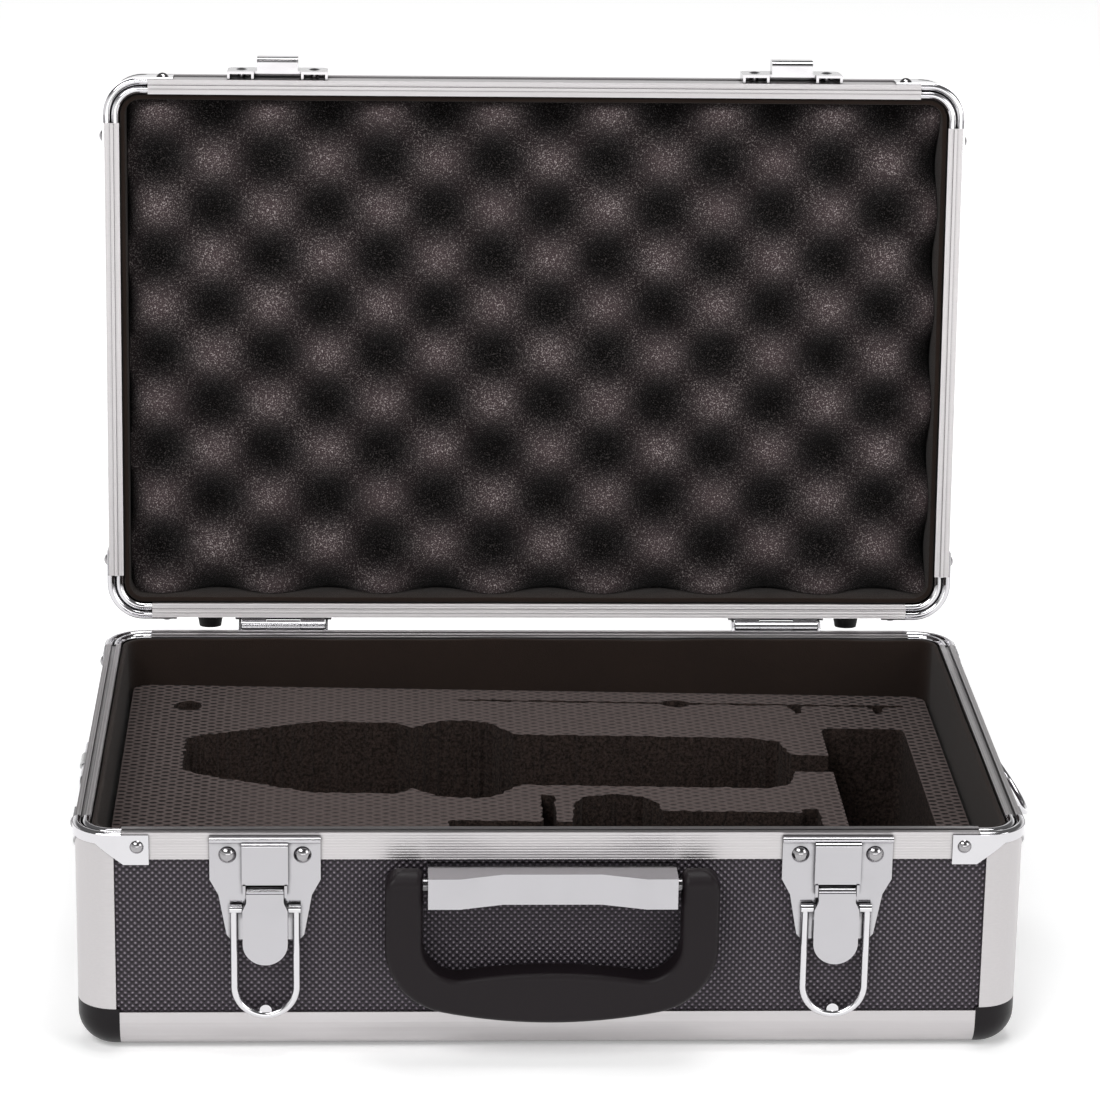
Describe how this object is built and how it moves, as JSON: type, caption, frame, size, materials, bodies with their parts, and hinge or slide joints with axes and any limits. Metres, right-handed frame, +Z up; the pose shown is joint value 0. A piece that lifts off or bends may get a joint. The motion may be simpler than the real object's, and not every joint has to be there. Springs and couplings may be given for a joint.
{
  "type": "tool case",
  "caption": "Hinged aluminium-framed tool case with black boards, foam inserts, a folding handle and toggle latches.",
  "frame": {"origin": "centre of the face that the case stands on", "axes": "+X to the right along the case's width, +Y from the front to the hinges, +Z up; the lid is drawn open"},
  "size_m": [0.3623, 0.292, 0.313],
  "materials": {
    "panel_black": "embossed with small raised dots",
    "aluminium_rail": "satin with fine lengthwise lines",
    "aluminium_edge": "satin anodised",
    "chrome": "bright",
    "rivet_steel": "bright",
    "plated_steel": "satin plated",
    "black_plastic": "matte, finely grained",
    "lining": "felted",
    "cut_foam": "embossed foam",
    "egg_crate_foam": "open-cell foam",
    "rubber": "matte"
  },
  "bodies": {
    "base": {"base_bottom_panel": "panel_black", "base_front_panel": "panel_black", "base_back_panel": "panel_black", "base_left_panel": "panel_black", "base_right_panel": "panel_black", "base_rim_front": "aluminium_rail", "base_rim_back": "aluminium_rail", "base_rim_left": "aluminium_rail", "base_rim_right": "aluminium_rail", "base_corner_posts": "aluminium_edge", "base_bottom_edges": "aluminium_edge", "base_ball_corners": "black_plastic", "base_rim_corners": "chrome", "base_corner_rivets": "rivet_steel", "base_lining": "lining", "base_feet": "rubber", "foam_floor_pad": "cut_foam", "foam_insert": "cut_foam", "handle_bracket": "chrome", "handle_pins": "rivet_steel", "latch_left_plate": "chrome", "latch_right_plate": "chrome", "latch_lever_pins": "rivet_steel", "latch_rivets": "rivet_steel", "strap_left_plate": "plated_steel", "strap_right_plate": "plated_steel", "strap_rivets": "rivet_steel", "hinge_base_leaves": "plated_steel", "hinge_pins": "plated_steel", "hinge_base_rivets": "rivet_steel"},
    "lid": {"lid_top_panel": "panel_black", "lid_front_panel": "panel_black", "lid_back_panel": "panel_black", "lid_left_panel": "panel_black", "lid_right_panel": "panel_black", "lid_rim_front": "aluminium_rail", "lid_rim_back": "aluminium_rail", "lid_rim_left": "aluminium_rail", "lid_rim_right": "aluminium_rail", "lid_corner_posts": "aluminium_edge", "lid_top_edges": "aluminium_edge", "lid_ball_corners": "black_plastic", "lid_rim_corners": "chrome", "lid_corner_rivets": "rivet_steel", "lid_lining": "lining", "lid_feet": "rubber", "lid_foam": "egg_crate_foam", "lid_keepers": "chrome", "keeper_rivets": "rivet_steel", "hinge_lid_leaves": "plated_steel", "hinge_lid_rivets": "rivet_steel"},
    "handle": {"handle_grip": "black_plastic"},
    "lever_left": {"latch_left_lever": "chrome"},
    "lever_right": {"latch_right_lever": "chrome"},
    "bail_left": {"latch_left_bail": "chrome"},
    "bail_right": {"latch_right_bail": "chrome"},
    "ring_left": {"strap_left_ring": "plated_steel"},
    "ring_right": {"strap_right_ring": "plated_steel"}
  },
  "joints": [
    {"name": "lid_hinge", "type": "hinge", "parent": "base", "child": "lid", "pos_m": [0, 0.1121, 0.08575], "axis": [1, 0, 0], "range_deg": [0, 96]},
    {"name": "handle_swing", "type": "hinge", "parent": "base", "child": "handle", "pos_m": [0, -0.116, 0.0685], "axis": [-1, 0, 0], "range_deg": [0, 90]},
    {"name": "latch_left_lever", "type": "hinge", "parent": "base", "child": "lever_left", "pos_m": [-0.1019, -0.1114, 0.0639], "axis": [-1, 0, 0], "range_deg": [0, 110]},
    {"name": "latch_left_bail", "type": "hinge", "parent": "lever_left", "child": "bail_left", "pos_m": [-0.1019, -0.1113, 0.0575], "axis": [1, 0, 0], "range_deg": [-165, 0]},
    {"name": "latch_right_lever", "type": "hinge", "parent": "base", "child": "lever_right", "pos_m": [0.1019, -0.1114, 0.0639], "axis": [-1, 0, 0], "range_deg": [0, 110]},
    {"name": "latch_right_bail", "type": "hinge", "parent": "lever_right", "child": "bail_right", "pos_m": [0.1019, -0.1113, 0.0575], "axis": [1, 0, 0], "range_deg": [-165, 0]},
    {"name": "strap_left_ring", "type": "hinge", "parent": "base", "child": "ring_left", "pos_m": [-0.1726, 0, 0.0705], "axis": [0, 1, 0], "range_deg": [0, 120]},
    {"name": "strap_right_ring", "type": "hinge", "parent": "base", "child": "ring_right", "pos_m": [0.1726, 0, 0.0705], "axis": [0, -1, 0], "range_deg": [-37, 83]}
  ]
}
